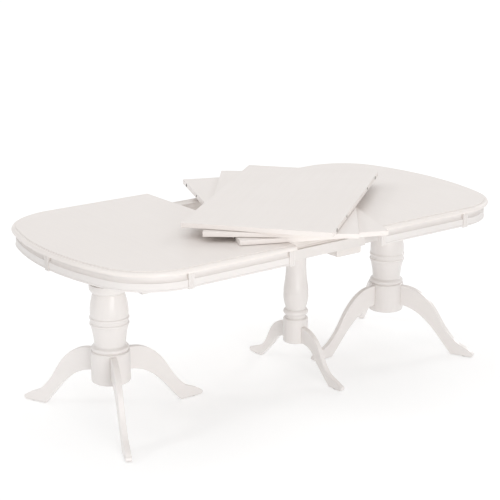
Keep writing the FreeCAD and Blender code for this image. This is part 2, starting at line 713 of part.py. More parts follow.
def middle_column():
    """Slim vase column of the middle pedestal."""
    size = "Sizes.middle_"
    top = f"{BEARER_TOP} - Sizes.bearer_height"
    ring_middle = f"({size}ring_bottom + {size}ring_top) / 2"
    path = [
        ("0", f"{size}base_bottom"),
        (f"{size}base_radius - Sizes.base_round", f"{size}base_bottom"),
        (f"{size}base_radius", f"{size}base_bottom + Sizes.base_round", "Sizes.base_round * 1.02"),
        (f"{size}base_radius", f"{size}base_top - Sizes.base_round"),
        (f"{size}cove_radius", f"{size}base_top", "Sizes.base_round * 1.3"),
        (f"{size}cove_radius", f"{size}ring_bottom", f"-({size}ring_bottom - {size}base_top) * 0.9"),
        (f"{size}ring_radius", ring_middle, f"({size}ring_top - {size}ring_bottom) * 0.62"),
        (f"{size}cove_radius", f"{size}ring_top", f"({size}ring_top - {size}ring_bottom) * 0.62"),
        (f"{size}waist_radius", f"{size}waist_level"),
        (f"{size}belly_radius", f"{size}belly_level", f"({size}belly_level - {size}waist_level) * 2.2"),
        (f"{size}belly_radius - {size}belly_fall", f"{size}belly_level + {size}belly_run",
         f"{size}belly_bend"),
        (f"{size}neck_radius", f"{size}neck_level", f"-({size}neck_level - {size}belly_level) * 5"),
        (f"{size}neck_radius", f"{top} - {size}collar_height"),
        (f"{size}collar_radius", f"{top} - {size}collar_height"),
        (f"{size}collar_radius", top),
        ("0", top),
    ]
    body = turned("middle_column", path)
    place(body, "Sizes.frame_x", MIDDLE_Y)
    return finish(body, "middle_column")


def leg(label, drum, reach, crown, root, thickness, crest, belly, heel):
    """Sawn S-curved leg, drawn outwards along x from the column's axis, with rounded arrises."""
    body = new_body(label)
    sole = "Sizes.glide_height"
    inside = f"({drum} - Sizes.root_overlap)"
    start, out = value(drum), value(reach) - value(drum)
    floor, rise = value(sole), value(crown) - value(sole)
    crest_points = [(start + out * along, floor + rise * up) for along, up in crest]
    belly_points = [(start + out * along, floor + rise * up) for along, up in reversed(belly)]
    heel_x = f"{drum} + ({reach} - {drum}) * {heel}"
    nose = f"{reach} - Sizes.toe_height / 2"
    sketch = new_sketch(body, label + "_side", "XZ_Plane")
    outline(sketch, [
        (inside, crown),
        (nose, f"{sole} + Sizes.toe_height", crest_points),
        (reach, f"{sole} + Sizes.toe_height / 2", "-Sizes.toe_height * 0.51"),
        (nose, sole, "-Sizes.toe_height * 0.51"),
        (heel_x, sole),
        (inside, root, belly_points),
    ])
    pad(body, sketch, thickness, symmetric=True)
    crown_edge = value(thickness) / 2

    def along_side(edge):
        on_side = all(abs(abs(vertex.Y) - crown_edge) < 0.01 for vertex in edge.Vertexes)
        return on_side and edge.BoundBox.YLength < 0.01 and edge.Curve.TypeId == "Part::GeomBSplineCurve"

    round_edges(body, label + "_arrises", along_side, "Sizes.edge_round")
    seat = new_sketch(body, label + "_seat", "XY_Plane", crown)
    circles(seat, [("0", "0")], drum)
    cut = pocket(body, seat, f"{crown} * 2")
    cut.SideType = "Symmetric"
    doc.recompute()
    return body


def glide_group(label, spots, side=None):
    """Round felt-faced glides under the toes, as one group of separate discs."""
    discs = []
    for radius_out, angle in spots:
        disc = doc.addObject("Part::Cylinder", label + "_disc")
        disc.setExpression("Radius", "Sizes.glide_radius")
        disc.setExpression("Height", "Sizes.glide_height")
        turned_x = math.cos(math.radians(angle))
        turned_y = math.sin(math.radians(angle))
        disc.setExpression("Placement.Base.x", f"({radius_out}) * {turned_x:.9f}")
        disc.setExpression("Placement.Base.y", f"({radius_out}) * {turned_y:.9f}")
        discs.append(disc)
    group = doc.addObject("Part::Compound", label)
    group.Links = discs
    if side:
        seat_in_half(group, side, x=PEDESTAL_X)
    else:
        place(group, "Sizes.frame_x", MIDDLE_Y)
    return finish(group, label)


def end_pedestal(side):
    """Column, three legs, glides and the cradle that ties the pedestal to the top."""
    end_column(side)
    spread = value("Sizes.leg_spread")
    near, far = ("front", "rear") if side == "right" else ("rear", "front")
    angles = {"inner": 180, far: spread, near: -spread}
    for name, angle in angles.items():
        body = leg(f"{side}_leg_{name}", "Sizes.base_radius", "Sizes.leg_reach", "Sizes.leg_crown",
                   "Sizes.leg_root", "Sizes.leg_thickness", LEG_CREST, LEG_BELLY, LEG_HEEL)
        seat_in_half(body, side, x=PEDESTAL_X, turn=angle)
        finish(body, f"{side}_leg_{name}")
    spots = [("Sizes.leg_reach - Sizes.glide_inset", angle) for angle in angles.values()]
    glide_group(f"{side}_glides", spots, side)
    half = "Sizes.cradle_length / 2"
    cheek_outer = f"({lane(2)} - Sizes.slide_thickness - Sizes.cheek_gap)"
    cheek_inner = f"({cheek_outer} - Sizes.cheek_thickness)"
    label = f"{side}_cradle_plate"
    plate = box(label, (f"-{half}", half), (f"-{cheek_outer}", cheek_outer),
                ("Sizes.cradle_level", CRADLE_FLOOR))
    socket = new_sketch(plate, label + "_socket", "XY_Plane", "Sizes.cradle_level")
    circles(socket, [("0", "0")], "Sizes.tenon_radius")
    pocket(plate, socket, "Sizes.cradle_plate", reverse=True)
    seat_in_half(plate, side, x=PEDESTAL_X)
    finish(plate, label)
    for name, sign in ((near, -1), (far, 1)):
        label = f"{side}_cradle_cheek_{name}"
        across = (cheek_inner, cheek_outer) if sign > 0 else (f"-{cheek_outer}", f"-{cheek_inner}")
        cheek = box(label, (f"-{half}", half), across, (CRADLE_FLOOR, UNDERSIDE))
        seat_in_half(cheek, side, x=PEDESTAL_X)
        finish(cheek, label)


# ---------------------------------------------------------------- centre frame


def centre_frame():
    """Middle pedestal, its cross bearer, the beam that carries the swivel post, and the post."""
    middle_column()
    for name, angle in (("front", -90), ("rear", 90)):
        body = leg(f"middle_leg_{name}", "Sizes.middle_base_radius", "Sizes.middle_leg_reach",
                   "Sizes.middle_leg_crown", "Sizes.middle_leg_root", "Sizes.middle_leg_thickness",
                   MIDDLE_LEG_CREST, MIDDLE_LEG_BELLY, MIDDLE_LEG_HEEL)
        place(body, "Sizes.frame_x", MIDDLE_Y, turn=angle)
        finish(body, f"middle_leg_{name}")
    spots = [("Sizes.middle_leg_reach - Sizes.glide_inset", angle) for angle in (-90, 90)]
    glide_group("middle_glides", spots)
    half = "Sizes.bearer_width / 2"
    reach = lane(1)
    bearer = box("middle_bearer", (f"-{half}", half), (f"-{reach}", reach),
                 (f"{BEARER_TOP} - Sizes.bearer_height", BEARER_TOP))
    lower = value(f"{BEARER_TOP} - Sizes.bearer_height")
    width = value("Sizes.bearer_width")
    round_edges(bearer, "middle_bearer_edges", lambda edge: level(edge, lower) and edge.Length > width,
                "Sizes.bearer_round")
    place(bearer, x="Sizes.frame_x")
    finish(bearer, "middle_bearer")
    low_x = "Sizes.swivel_x - Sizes.beam_end - Sizes.frame_x"
    across = "Sizes.beam_width / 2"
    sides = (f"-Sizes.swivel_offset - {across}", f"-Sizes.swivel_offset + {across}")
    beam = box("swivel_beam", (low_x, half), sides, (BEARER_TOP, BEAM_TOP))
    seat = new_sketch(beam, "swivel_beam_seat", "XY_Plane", BEAM_TOP)
    circles(seat, [("Sizes.swivel_x - Sizes.frame_x", "-Sizes.swivel_offset")], "Sizes.post_radius")
    pocket(beam, seat, "Sizes.post_seat")
    place(beam, x="Sizes.frame_x")
    finish(beam, "swivel_beam")
    collar_top = "Sizes.table_height + Sizes.leaf_clearance - Sizes.collar_clearance"
    top_leaf = f"Sizes.table_height + Sizes.leaf_clearance + 2 * {LEAF_PITCH}"
    post_top = f"{top_leaf} + Sizes.blind_bore - Sizes.post_play"
    post = turned("swivel_post", [
        ("0", f"{BEAM_TOP} - Sizes.post_seat"),
        ("Sizes.post_radius", f"{BEAM_TOP} - Sizes.post_seat"),
        ("Sizes.post_radius", BEAM_TOP),
        ("Sizes.collar_radius", BEAM_TOP),
        ("Sizes.collar_radius", collar_top),
        ("Sizes.post_radius", collar_top),
        ("Sizes.post_radius", post_top),
        ("0", post_top),
    ])
    place(post, "Sizes.swivel_x", SWIVEL_Y)
    finish(post, "swivel_post")
    for name, sign in (("front", -1), ("rear", 1)):
        centre_slide(name, sign)


# ---------------------------------------------------------------- build and write


def half(side):
    """Everything that slides with one half of the table."""
    table_top(side)
    # A side's front rail lies at low y in the table, which is high y in the turned left half.
    signs = (("front", -1), ("rear", 1)) if side == "right" else (("front", 1), ("rear", -1))
    for name, sign in signs:
        straight_apron(side, name, sign)
        curved_apron(side, name, sign)
        half_slide(side, name, sign, 2 if side == "right" else 0)
    half_blocks(side)
    end_pedestal(side)


centre_frame()
for half_side in ("left", "right"):
    half(half_side)
dowel_group("right")
for order, leaf_name in enumerate(("low", "middle", "top")):
    leaf(leaf_name, order)
doc.recompute()

for item in doc.Objects:
    if "Invalid" in item.State or "Error" in item.State:
        raise RuntimeError(f"{item.Name} failed: {item.State}")
for solid in parts:
    if solid.Shape.isNull() or not solid.Shape.isValid() or not solid.Shape.Solids:
        raise RuntimeError(f"{solid.Label} has no sound shape")

os.makedirs("parts", exist_ok=True)
for solid in parts:
    solid.Shape.exportStep(f"parts/{solid.Label}.step")
    bounds = solid.Shape.BoundBox
    print(f"{solid.Label:26s} {len(solid.Shape.Solids)} solids {solid.Shape.Volume / 1000:9.1f} cm3  "
          f"x {bounds.XMin:8.1f}..{bounds.XMax:8.1f}  y {bounds.YMin:7.1f}..{bounds.YMax:7.1f}  "
          f"z {bounds.ZMin:6.1f}..{bounds.ZMax:6.1f}")
print(len(parts), "sub-parts")
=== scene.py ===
# %% [markdown]
# # Pedestal extension table
# A dining table in two sliding halves, drawn half open, with three loose leaves fanned on a post over
# the gap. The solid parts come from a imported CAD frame. This lesson gives them their finish and adds
# what a joiner fits last: glue blocks, screws, locks, glides, dowels and softened edges.
# Everything is in metres. +X runs along the table, +Z is up and the floor is at Z = 0.

# %% Load the frame
import math

import bmesh
import bpy
from mathutils import Matrix, Vector


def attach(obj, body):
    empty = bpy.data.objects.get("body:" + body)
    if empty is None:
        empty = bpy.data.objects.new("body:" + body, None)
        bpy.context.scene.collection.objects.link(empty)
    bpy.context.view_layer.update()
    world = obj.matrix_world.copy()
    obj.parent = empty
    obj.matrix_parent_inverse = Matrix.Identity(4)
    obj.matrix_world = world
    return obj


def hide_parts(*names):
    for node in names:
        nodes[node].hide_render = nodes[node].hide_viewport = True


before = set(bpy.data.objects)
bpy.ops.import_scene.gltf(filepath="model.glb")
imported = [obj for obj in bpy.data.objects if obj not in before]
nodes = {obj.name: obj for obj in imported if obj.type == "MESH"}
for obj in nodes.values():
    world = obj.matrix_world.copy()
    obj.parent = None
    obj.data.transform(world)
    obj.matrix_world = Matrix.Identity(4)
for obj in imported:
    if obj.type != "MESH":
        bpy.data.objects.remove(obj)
scene = bpy.context.scene
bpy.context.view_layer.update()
print("nodes:", len(nodes))

# %% [markdown]
# ## Camera
# A long lens at standing height flattens the table only a little, as a catalogue likes it. Place, turn and
# focal length belong together: they were solved as one set, so that the vanishing lines of the top agree.

# %% Camera
AXIS_Y = 0.04572
CAMERA_PLACE = Vector((-3.3433, -4.3305 + AXIS_Y, 2.1606))
CAMERA_YAW = math.radians(37.281)
CAMERA_PITCH = math.radians(16.140)
FOCAL_PIXELS = 1337.6
FRAME_PIXELS = 500
SENSOR_WIDTH = 36.0

lens = bpy.data.cameras.new("catalogue_lens")
lens.sensor_fit = "HORIZONTAL"
lens.sensor_width = SENSOR_WIDTH
lens.lens = FOCAL_PIXELS * SENSOR_WIDTH / FRAME_PIXELS
camera = bpy.data.objects.new("camera", lens)
camera.location = CAMERA_PLACE
camera.rotation_euler = (math.pi / 2 - CAMERA_PITCH, 0, -CAMERA_YAW)
scene.collection.objects.link(camera)
scene.camera = camera
print("lens:", round(lens.lens, 2), "mm")

# %% [markdown]
# ## Studio light
# A pale table needs even light with a little direction. Three distant lamps stand for windows behind silk:
# two of like strength, at the left and at the right, stand low, so that the leaves throw two soft shadows
# on the halves, and a weak one shines from the front. A fourth, very wide one is the white ceiling.
# Distant lamps light the whole floor alike, so the white sheet stays white. The columns stand in the shade
# of the top, and a low softbox far in front reaches them under its edge.

# %% Studio light
scene.view_settings.view_transform = "Standard"


def new_lamp(name, kind, place, target, power):
    """A lamp at a place that looks at a target."""
    data = bpy.data.lights.new(name, kind)
    data.energy = power
    lamp = bpy.data.objects.new(name, data)
    lamp.location = place
    lamp.rotation_euler = (Vector(target) - Vector(place)).to_track_quat("-Z", "Y").to_euler()
    scene.collection.objects.link(lamp)
    print(name, kind.lower(), power)
    return lamp


def silk_window(name, place, power, spread):
    """A distant lamp whose shadow edges are as soft as its spread in degrees makes them."""
    lamp = new_lamp(name, "SUN", place, (0, 0, 0), power)
    lamp.data.angle = math.radians(spread)


def softbox(name, place, target, power, size):
    """A square lamp, as wide as its size in metres, that looks at a target."""
    lamp = new_lamp(name, "AREA", place, target, power)
    lamp.data.shape = "SQUARE"
    lamp.data.size = size


silk_window("front_window", (-0.25, -0.92, 0.84), 0.15, 14)
silk_window("left_window", (-0.94, 0.40, 0.60), 0.40, 12)
silk_window("right_window", (0.92, 0.16, 0.46), 0.42, 14)
silk_window("ceiling", (0.10, 0.20, 1.00), 0.70, 70)
softbox("low_box", (-1.7, -5.0, 1.1), (0, 0, 0.35), 80, 2.2)

# %% [markdown]
# ## Floor and backdrop
# The studio is white all round. Where the camera looks past the table the world is plain white, and it
# lights the table more gently than that. The floor is a white sheet that keeps the soft shadows: part of
# what the camera sees of it glows, so that open floor reaches white while the shadow stays readable. For
# every other ray it gives off a faint light, which reaches legs and columns from below.

# %% Floor and backdrop
WHITE = (1, 1, 1, 1)
SHEET_WHITE = (0.90, 0.90, 0.90, 1)
WORLD_STRENGTH = 0.56
FLOOR_WIDTH = 60
GLOW_SHARE = 0.32
GLOW_STRENGTH = 1.50
UPWARD_GLOW = 0.16


def add_node(tree, kind, feed=None, **options):
    """Adds a shader node with its options, and feeds inputs with numbers or with other sockets."""
    made = tree.nodes.new(kind)
    for name, option in options.items():
        setattr(made, name, option)
    for name, source in (feed or {}).items():
        if isinstance(source, bpy.types.NodeSocket):
            tree.links.new(source, made.inputs[name])
        else:
            made.inputs[name].default_value = source
    return made


def camera_or_mirror(tree):
    """A mask that is one for what the camera sees straight on, in a mirror or through glass."""
    path = add_node(tree, "ShaderNodeLightPath")
    straight, mirrored = path.outputs["Is Camera Ray"], path.outputs["Is Glossy Ray"]
    first = add_node(tree, "ShaderNodeMath", {0: straight, 1: mirrored}, operation="MAXIMUM")
    both = add_node(tree, "ShaderNodeMath", {0: first.outputs[0], 1: path.outputs["Is Transmission Ray"]},
                    operation="MAXIMUM")
    return both.outputs[0]


world = bpy.data.worlds.new("studio")
scene.world = world
world.use_nodes = True
sky = world.node_tree
sky.nodes.clear()
dim = add_node(sky, "ShaderNodeBackground", {"Color": WHITE, "Strength": WORLD_STRENGTH})
white = add_node(sky, "ShaderNodeBackground", {"Color": WHITE, "Strength": 1.0})
either = add_node(sky, "ShaderNodeMixShader",
                  {0: camera_or_mirror(sky), 1: dim.outputs[0], 2: white.outputs[0]})
add_node(sky, "ShaderNodeOutputWorld", {"Surface": either.outputs[0]})

bpy.ops.object.select_all(action="DESELECT")
bpy.ops.mesh.primitive_plane_add(size=FLOOR_WIDTH, location=(0, 0, 0))
floor = bpy.context.object
floor.name = "floor"
floor_sheet = bpy.data.materials.new("floor_sheet")
floor_sheet.use_nodes = True
ground = floor_sheet.node_tree
ground.nodes.clear()
matt = add_node(ground, "ShaderNodeBsdfDiffuse", {"Color": SHEET_WHITE})
glow = add_node(ground, "ShaderNodeEmission", {"Color": WHITE, "Strength": GLOW_STRENGTH})
lit = add_node(ground, "ShaderNodeMixShader", {0: GLOW_SHARE, 1: matt.outputs[0], 2: glow.outputs[0]})
from_below = add_node(ground, "ShaderNodeEmission", {"Color": WHITE, "Strength": UPWARD_GLOW})
upwards = add_node(ground, "ShaderNodeAddShader", {0: matt.outputs[0], 1: from_below.outputs[0]})
seen = add_node(ground, "ShaderNodeMixShader",
                {0: camera_or_mirror(ground), 1: upwards.outputs[0], 2: lit.outputs[0]})
add_node(ground, "ShaderNodeOutputMaterial", {"Surface": seen.outputs[0]})
floor.data.materials.append(floor_sheet)
print("floor:", floor.dimensions[0], "m wide")

# %% [markdown]
# ## Shared effect: wood fibre
# Every wooden piece has fibres that run one way. One noise, squeezed across the fibres and drawn out
# along them, gives soft streaks. A second, finer one is cut off high up so that only short dark pores
# stay. Both live in one group, so that each material only says how its fibres lie.

# %% Wood fibre group
PORES_FROM, PORES_FULL = 0.58, 0.72


def new_group(name, inputs, outputs):
    """An empty shader group with named sockets; gives the tree, its inputs' outputs and its end."""
    tree = bpy.data.node_groups.new(name, "ShaderNodeTree")
    for title, kind in inputs:
        tree.interface.new_socket(title, in_out="INPUT", socket_type=kind)
    for title, kind in outputs:
        tree.interface.new_socket(title, in_out="OUTPUT", socket_type=kind)
    return tree, tree.nodes.new("NodeGroupInput"), tree.nodes.new("NodeGroupOutput")


def give_out(tree, end, results):
    """Links a group's results to its output sockets."""
    for title, socket in results.items():
        tree.links.new(socket, end.inputs[title])


fibre_group, fibre_in, fibre_out = new_group(
    "wood_fibre",
    [("Vector", "NodeSocketVector"), ("Stretch", "NodeSocketVector")],
    [("Streak", "NodeSocketFloat"), ("Pores", "NodeSocketFloat"), ("Drift", "NodeSocketFloat")])
drawn = add_node(fibre_group, "ShaderNodeVectorMath",
                 {0: fibre_in.outputs["Vector"], 1: fibre_in.outputs["Stretch"]}, operation="MULTIPLY")
streaks = add_node(fibre_group, "ShaderNodeTexNoise",
                   {"Vector": drawn.outputs[0], "Scale": 1.0, "Detail": 5.0, "Roughness": 0.6,
                    "Distortion": 0.35})
pore_noise = add_node(fibre_group, "ShaderNodeTexNoise",
                      {"Vector": drawn.outputs[0], "Scale": 5.5, "Detail": 2.0, "Roughness": 0.5})
pore_mask = add_node(fibre_group, "ShaderNodeMapRange",
                     {"Value": pore_noise.outputs[0], 1: PORES_FROM, 2: PORES_FULL, 3: 0.0, 4: 1.0})
drift = add_node(fibre_group, "ShaderNodeTexNoise",
                 {"Vector": fibre_in.outputs["Vector"], "Scale": 3.1, "Detail": 2.0, "Roughness": 0.5})
give_out(fibre_group, fibre_out,
         {"Streak": streaks.outputs[0], "Pores": pore_mask.outputs[0], "Drift": drift.outputs[0]})
print("group:", fibre_group.name)

# %% [markdown]
# ## Shared effect: edges and hollows, for wear, glaze, painted highlight and painted shade
# Sprayed lacquer is rounded and a little rubbed on every arris, and the toning glaze that is wiped over
# it stays in grooves and inner corners. The materials lighten the arrises, partly as that wear and partly
# as a painted highlight. They darken the hollows as painted shade, and in the lacquers also as glaze.
# The Bevel node looks at the faces close by and gives a softened normal: where it differs from the true
# one, there is an edge. The Ambient Occlusion node over a short distance finds the hollows, where shade
# falls. Both work on the CAD meshes as they are.

# %% Edges and hollows group
EDGE_FROM, EDGE_FULL = 0.995, 0.82
HOLLOW_FROM, HOLLOW_FULL = 0.80, 0.30

relief_group, relief_in, relief_out = new_group(
    "edges_and_hollows",
    [("Width", "NodeSocketFloat"), ("Reach", "NodeSocketFloat")],
    [("Edge", "NodeSocketFloat"), ("Hollow", "NodeSocketFloat"), ("Soft Normal", "NodeSocketVector")])
softened = add_node(relief_group, "ShaderNodeBevel", {"Radius": relief_in.outputs["Width"]}, samples=4)
true_face = add_node(relief_group, "ShaderNodeNewGeometry")
likeness = add_node(relief_group, "ShaderNodeVectorMath",
                    {0: softened.outputs[0], 1: true_face.outputs["Normal"]}, operation="DOT_PRODUCT")
# Edge mask: the materials lighten arrises with it, partly as wear and partly as painted highlight.
edge_mask = add_node(relief_group, "ShaderNodeMapRange",
                     {"Value": likeness.outputs["Value"], 1: EDGE_FROM, 2: EDGE_FULL, 3: 0.0, 4: 1.0})
# Hollow mask from occlusion: the materials darken with it as painted shade.
nearby = add_node(relief_group, "ShaderNodeAmbientOcclusion", {"Distance": relief_in.outputs["Reach"]},
                  samples=6)
hollow_mask = add_node(relief_group, "ShaderNodeMapRange",
                       {"Value": nearby.outputs["AO"], 1: HOLLOW_FROM, 2: HOLLOW_FULL, 3: 0.0, 4: 1.0})
give_out(relief_group, relief_out,
         {"Edge": edge_mask.outputs[0], "Hollow": hollow_mask.outputs[0],
          "Soft Normal": softened.outputs[0]})
print("group:", relief_group.name)

# %% [markdown]
# ## Lacquered wood
# The table has a satin ivory lacquer with a thin warm glaze. The wood shows through it only as faint
# streaks and in the gloss. The tone drifts a little over a board. Arrises are a shade lighter, partly where
# cloths rub them and partly as a painted highlight. Hollows are darker, partly from glaze and partly as
# painted shade. Each use says how its fibres lie: a large number squeezes them along that axis, a small one
# draws them out. One function makes all the lacquers, so that they stay one family and differ only in tone
# and gloss. The tones are lit and shaded copies of one ivory: darker on the rails and blocks as painted
# shade, lighter on the columns and legs as painted light.

# %% Lacquered wood
IVORY = (0.838, 0.789, 0.757, 1)
IVORY_SHADE = (0.790, 0.738, 0.704, 1)
# Rail tone: the ivory drawn darker, as painted shade.
RAIL_IVORY_PAINTED_SHADE = (0.792, 0.760, 0.741, 1)
# Turned and leg tones: the ivory drawn lighter, as painted light.
TURNED_IVORY_PAINTED_LIGHT = (0.836, 0.802, 0.782, 1)
LEG_IVORY_PAINTED_LIGHT = (0.862, 0.828, 0.808, 1)
FRAME_IVORY = (0.79, 0.75, 0.72, 1)
# Lighter colour for arrises: rubbed wear and painted highlight.
RUBBED_AND_HIGHLIGHT = (0.872, 0.842, 0.816, 1)
# Darker colour for hollows: glaze and painted shade.
GLAZE_AND_SHADE = (0.560, 0.495, 0.445, 1)
LACQUER_ARRIS = 0.0016
GLAZE_AND_SHADE_REACH = 0.010
COAT_ROUGHNESS = 0.14
LEAF_TURNS = {"low": -22.8, "middle": -40.0, "top": -51.6}


def group_node(tree, group, feed):
    """Places a shared effect in a material, with its own values."""
    return add_node(tree, "ShaderNodeGroup", feed, node_tree=group)


def blend_colour(tree, share, first, second):
    """Mixes two colours; the share is a mask, already scaled."""
    mixed = add_node(tree, "ShaderNodeMix", {0: share, 6: first, 7: second}, data_type="RGBA")
    return mixed.outputs[2]


def scaled(tree, mask, low, high):
    """A mask brought from 0..1 to low..high."""
    ranged = add_node(tree, "ShaderNodeMapRange", {"Value": mask, 1: 0.0, 2: 1.0, 3: low, 4: high})
    return ranged.outputs[0]


def new_material(name, turn=0.0):
    """A material with its tree, its Principled shader and Object coordinates turned about Z."""
    material = bpy.data.materials.new(name)
    material.use_nodes = True
    tree = material.node_tree
    place = add_node(tree, "ShaderNodeTexCoord")
    turned = add_node(tree, "ShaderNodeMapping",
                      {"Vector": place.outputs["Object"], "Rotation": (0, 0, -turn)})
    return material, tree, tree.nodes["Principled BSDF"], turned.outputs[0]


def dress(tree, shader, colour, dull, height, relief, strength, depth):
    """Links colour and roughness, and a bump over the softened normal, to a material's shader."""
    bump = add_node(tree, "ShaderNodeBump",
                    {"Height": height, "Strength": strength, "Distance": depth,
                     "Normal": relief.outputs["Soft Normal"]})
    for title, socket in (("Base Color", colour), ("Roughness", dull), ("Normal", bump.outputs[0])):
        tree.links.new(socket, shader.inputs[title])


def lacquered(name, stretch, turn=0.0, tone=IVORY, gloss=0.36, streak=0.35, rub_and_highlight=0.6, glaze_and_shade=0.55, coat=0.0,
              shine=0.42):
    """Satin lacquer over wood whose fibres lie as stretch says, in a frame turned about Z."""
    material, tree, shader, place = new_material(name, turn)
    fibre = group_node(tree, fibre_group, {"Vector": place, "Stretch": stretch})
    relief = group_node(tree, relief_group, {"Width": LACQUER_ARRIS, "Reach": GLAZE_AND_SHADE_REACH})
    shade = tuple(tone[i] * IVORY_SHADE[i] / IVORY[i] for i in range(3)) + (1,)
    colour = blend_colour(tree, scaled(tree, fibre.outputs["Drift"], -0.15, 0.75), tone, shade)
    colour = blend_colour(tree, scaled(tree, fibre.outputs["Streak"], -streak / 2, streak), colour, shade)
    # Arrises lightened: rubbed wear and painted highlight.
    colour = blend_colour(tree, scaled(tree, relief.outputs["Edge"], 0.0, rub_and_highlight), colour, RUBBED_AND_HIGHLIGHT)
    # Hollows darkened: glaze and painted shade.
    colour = blend_colour(tree, scaled(tree, relief.outputs["Hollow"], 0.0, glaze_and_shade), colour, GLAZE_AND_SHADE)
    dull = scaled(tree, fibre.outputs["Streak"], gloss - 0.07, gloss + 0.09)
    height = add_node(tree, "ShaderNodeMath",
                      {0: fibre.outputs["Streak"], 1: scaled(tree, fibre.outputs["Pores"], 0.0, 0.35)},
                      operation="SUBTRACT")
    dress(tree, shader, colour, dull, height.outputs[0], relief, strength=0.35, depth=0.0003)
    shader.inputs["Specular IOR Level"].default_value = shine
    shader.inputs["Coat Weight"].default_value = coat
    shader.inputs["Coat Roughness"].default_value = COAT_ROUGHNESS
    return material


ACROSS_TABLE = (70.0, 3.0, 70.0)
LEVEL = (6.0, 6.0, 95.0)
UPRIGHT = (95.0, 95.0, 5.0)

top_finish = lacquered("top_lacquer", ACROSS_TABLE, streak=0.30, gloss=0.33, rub_and_highlight=0.2, glaze_and_shade=0.0)
rail_finish = lacquered("rail_lacquer", LEVEL, tone=RAIL_IVORY_PAINTED_SHADE, gloss=0.42, glaze_and_shade=0.7, shine=0.30)
block_finish = lacquered("block_lacquer", UPRIGHT, tone=RAIL_IVORY_PAINTED_SHADE, gloss=0.42, glaze_and_shade=0.7, shine=0.30)
turned_finish = lacquered("turned_lacquer", UPRIGHT, tone=TURNED_IVORY_PAINTED_LIGHT, gloss=0.34, glaze_and_shade=0.8, coat=0.42,
                          shine=0.25)
leg_finish = lacquered("leg_lacquer", LEVEL, tone=LEG_IVORY_PAINTED_LIGHT, gloss=0.35, coat=0.25)
frame_finish = lacquered("frame_lacquer", LEVEL, tone=FRAME_IVORY, gloss=0.48, streak=0.6, rub_and_highlight=0.3)
leaf_finish = {name: lacquered(f"leaf_{name}_lacquer", ACROSS_TABLE, turn=math.radians(turn), streak=0.30,
                               gloss=0.33)
               for name, turn in LEAF_TURNS.items()}
print("lacquers:", [material.name for material in bpy.data.materials if "lacquer" in material.name])

# %% [markdown]
# ## Waxed slide wood
# The extension slides are bare hardwood, rubbed with wax so that they run. Above the ledge the outer
# slide keeps the wood's brown streaks, and below it the edge was sprayed together with the table. Its
# ivory is drawn darker than the table's, as painted shade. Two materials would need the faces cut along
# the paint line. The line follows the height, so one mask on Object Z divides the two instead, broken up a
# little by the fibre. In all the bare woods the hollows are drawn browner, as painted shade.

# %% Waxed slide wood
SLIDE_PALE = (0.89, 0.85, 0.82, 1)
SLIDE_BROWN = (0.62, 0.565, 0.525, 1)
# Paint below the line: the table's ivory drawn darker, as painted shade.
SLIDE_PAINT_SHADED = (0.750, 0.720, 0.698, 1)
BEECH, BEECH_BROWN = (0.66, 0.50, 0.34, 1), (0.50, 0.34, 0.21, 1)
PINE, PINE_BROWN = (0.70, 0.56, 0.40, 1), (0.52, 0.37, 0.23, 1)
WAXED_ARRIS = 0.0010
WAX_REACH = 0.012
PAINT_LINE = 0.690
PAINT_WAVE = 0.0008


def waxed(name, stretch, pale, brown, painted_below=None):
    """Bare waxed wood with clear streaks and pores and painted shade in its hollows, painted below a level
    if one is given, in an ivory drawn darker as painted shade.
    """
    material, tree, shader, place = new_material(name)
    fibre = group_node(tree, fibre_group, {"Vector": place, "Stretch": stretch})
    relief = group_node(tree, relief_group, {"Width": WAXED_ARRIS, "Reach": WAX_REACH})
    colour = blend_colour(tree, scaled(tree, fibre.outputs["Streak"], -0.6, 1.5), pale, brown)
    colour = blend_colour(tree, scaled(tree, fibre.outputs["Pores"], 0.0, 0.45), colour, brown)
    # Hollows drawn browner: painted shade.
    colour = blend_colour(tree, scaled(tree, relief.outputs["Hollow"], 0.0, 0.5), colour, brown)
    dull = scaled(tree, fibre.outputs["Streak"], 0.42, 0.62)
    if painted_below is not None:
        parts = add_node(tree, "ShaderNodeSeparateXYZ", {0: place})
        wave = scaled(tree, fibre.outputs["Streak"], -PAINT_WAVE, PAINT_WAVE)
        wavy = add_node(tree, "ShaderNodeMath", {0: parts.outputs[2], 1: wave}, operation="ADD")
        paint = add_node(tree, "ShaderNodeMapRange",
                         {"Value": wavy.outputs[0], 1: painted_below + PAINT_WAVE,
                          2: painted_below - PAINT_WAVE / 4, 3: 0.0, 4: 0.97})
        colour = blend_colour(tree, paint.outputs[0], colour, SLIDE_PAINT_SHADED)
    dress(tree, shader, colour, dull, fibre.outputs["Streak"], relief, strength=0.5, depth=0.0005)
    return material


slide_finish = waxed("slide_wood", (7.0, 60.0, 130.0), SLIDE_PALE, SLIDE_BROWN, PAINT_LINE)
beech_finish = waxed("dowel_beech", (20.0, 400.0, 400.0), BEECH, BEECH_BROWN)
block_pine = waxed("block_pine", (30.0, 30.0, 160.0), PINE, PINE_BROWN)
print("bare woods:", slide_finish.name, beech_finish.name, block_pine.name)

# %% [markdown]
# ## Steel and nylon
# The swivel post, screws and locks are zinc-plated steel with fine turning marks, and the slip rings,
# glides and dowel bushes are moulded nylon. Steel is fully metallic, and its roughness carries the marks.
# Its hollows are drawn darker, as painted shade. Nylon is dull and a little uneven. The bushes' near-black
# stands partly for their nylon and partly as painted shade in the holes.

# %% Steel and nylon
ZINC = (0.60, 0.60, 0.59, 1)
YELLOW_ZINC = (0.68, 0.60, 0.42, 1)
# Dark grey for the steel's hollows: painted shade.
STEEL_HOLLOW_SHADE = (0.10, 0.09, 0.08, 1)
WHITE_NYLON = (0.74, 0.72, 0.68, 1)
BROWN_NYLON = (0.075, 0.060, 0.050, 1)
# Near-black for the dowel bushes: partly the nylon's colour, partly painted shade in the holes.
BLACK_NYLON_AND_HOLE_SHADE = (0.022, 0.018, 0.016, 1)


